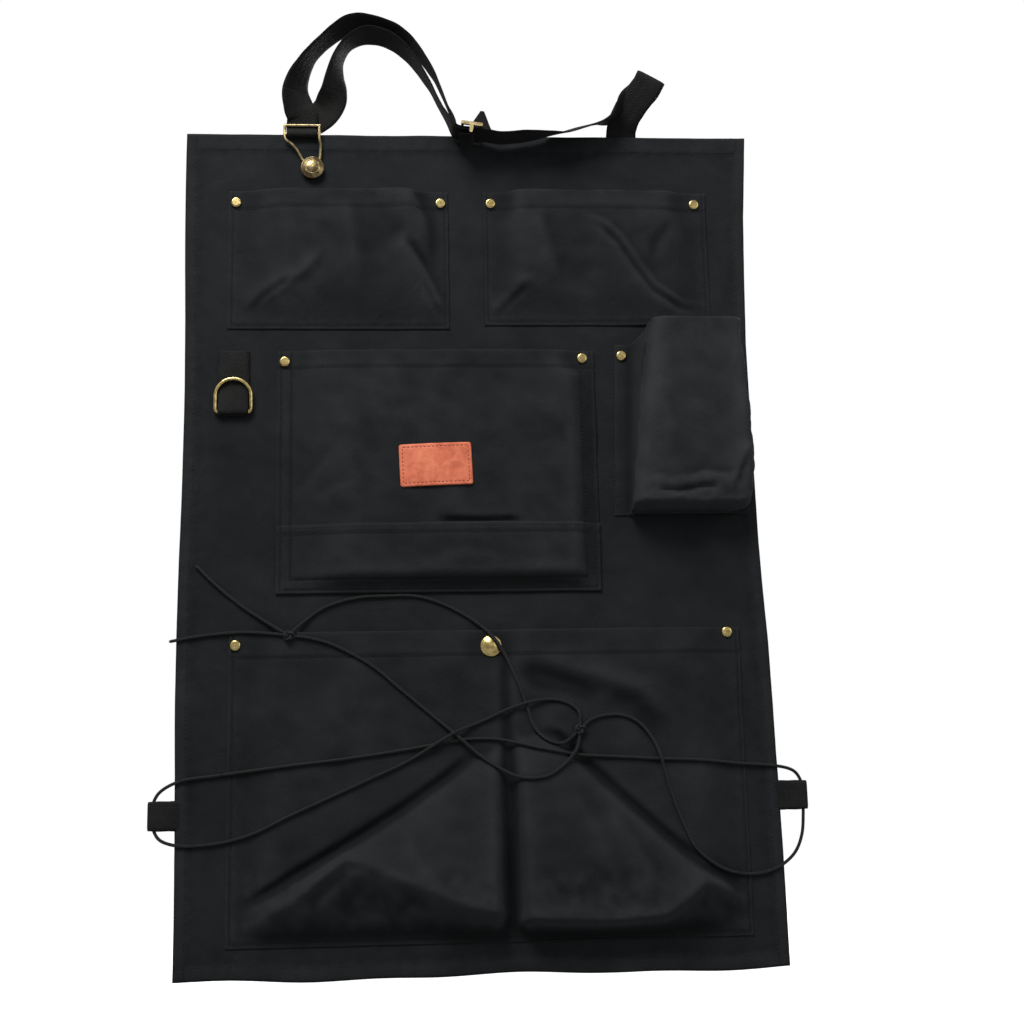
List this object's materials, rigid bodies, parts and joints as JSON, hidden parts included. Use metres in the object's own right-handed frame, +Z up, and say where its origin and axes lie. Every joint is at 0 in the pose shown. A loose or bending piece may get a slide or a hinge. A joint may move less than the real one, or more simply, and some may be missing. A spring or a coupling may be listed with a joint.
{
  "type": "artist smock apron",
  "caption": "Canvas bib work apron with patch pockets, a deep side pocket for a bottle, a webbing neck strap on a buckle and slider, and an elastic waist cord in side loops.",
  "frame": {"origin": "middle of the top hem on the back face of the panel, 7 mm below the top edge", "axes": "+X to the wearer's left (right as seen from in front), +Y out of the back towards the wearer, +Z up to the neck"},
  "size_m": [0.501, 0.0414, 0.7675],
  "materials": {
    "bib_canvas": "dark heavy cotton canvas",
    "pocket_canvas": "dark heavy cotton canvas",
    "bottle_canvas": "dark heavy cotton canvas, a little lighter",
    "webbing": "dark woven cotton webbing",
    "tan_leather": "smooth tan leather",
    "antique_brass": "aged satin brass",
    "bright_brass": "polished brass",
    "elastic_cord": "dark braided elastic cord"
  },
  "bodies": {
    "panel": {"main_panel": "bib_canvas", "top_left_pocket": "pocket_canvas", "top_right_pocket": "pocket_canvas", "center_pocket": "pocket_canvas", "center_low_pocket": "pocket_canvas", "lower_pocket": "pocket_canvas", "leather_label": "tan_leather", "bottle_pocket_gusset": "bottle_canvas", "rivet_caps": "antique_brass", "rivet_backs": "antique_brass", "center_tack_cap": "bright_brass", "center_tack_nail": "antique_brass", "tack_button": "antique_brass", "tack_button_nail": "antique_brass", "d_ring_tab": "webbing", "strap_buckle": "bright_brass", "strap_turn": "webbing", "waist_cord": "elastic_cord"},
    "ring": {"d_ring": "bright_brass"},
    "strap": {"neck_strap": "webbing", "strap_return": "webbing"},
    "slider": {"strap_slider": "bright_brass", "strap_end_tab": "webbing"},
    "left_loop": {"left_side_loop": "webbing"},
    "right_loop": {"right_side_loop": "webbing"},
    "bottle_front": {"bottle_pocket_front": "bottle_canvas"}
  },
  "joints": [
    {"name": "d_ring_swing", "type": "hinge", "parent": "panel", "child": "ring", "pos_m": [-0.191, -0.005, -0.23], "axis": [1, 0, 0], "range_deg": [0, 172]},
    {"name": "neck_strap_swing", "type": "hinge", "parent": "panel", "child": "strap", "pos_m": [0.126, -0.0016, 0.008], "axis": [-0.9997, -0.0064, 0.0246], "range_deg": [0, 90]},
    {"name": "slider_travel", "type": "slide", "parent": "strap", "child": "slider", "axis": [0.9903, 0, -0.1392], "range_m": [0, 0.01]},
    {"name": "left_loop_swing", "type": "hinge", "parent": "panel", "child": "left_loop", "pos_m": [-0.2315, -0.0012, -0.542], "axis": [0, 0, 1], "range_deg": [0, 70], "deforming": ["waist_cord"]},
    {"name": "right_loop_swing", "type": "hinge", "parent": "panel", "child": "right_loop", "pos_m": [0.2315, -0.0012, -0.5355], "axis": [0, 0, -1], "range_deg": [0, 70], "deforming": ["waist_cord"]},
    {"name": "bottle_pocket_press", "type": "slide", "parent": "panel", "child": "bottle_front", "axis": [0, 1, 0], "range_m": [0, 0.008], "deforming": ["bottle_pocket_gusset"]}
  ]
}
